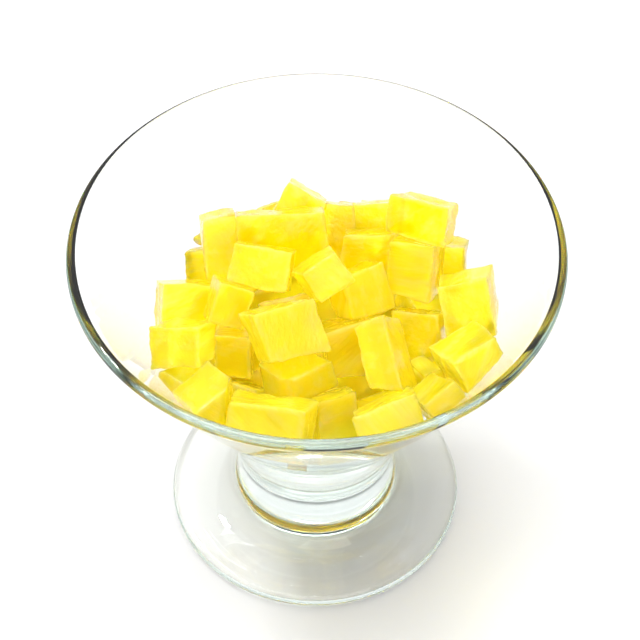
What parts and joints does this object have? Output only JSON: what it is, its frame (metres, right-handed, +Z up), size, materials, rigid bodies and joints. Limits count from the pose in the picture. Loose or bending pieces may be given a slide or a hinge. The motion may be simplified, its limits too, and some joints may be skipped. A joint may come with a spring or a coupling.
{
  "type": "jelly cubes in a footed dessert glass",
  "caption": "Heap of cut yellow jelly cubes in a clear footed dessert glass with a wide cone-shaped bowl, a short solid stem and a round foot.",
  "frame": {"origin": "middle of the foot's underside, on the glass's axis", "axes": "+Z up along the glass's axis, -Y towards the viewer of the picture, +X to the viewer's right"},
  "size_m": [0.112, 0.112, 0.0952],
  "materials": {
    "clear_glass": "clear pressed glass with a faint green tint at its edges",
    "yellow_jelly": "wet, translucent, bright lemon-yellow jelly with cut faces"
  },
  "bodies": {
    "root": {"glass_coupe": "clear_glass", "jelly_heap": "yellow_jelly"}
  },
  "joints": []
}
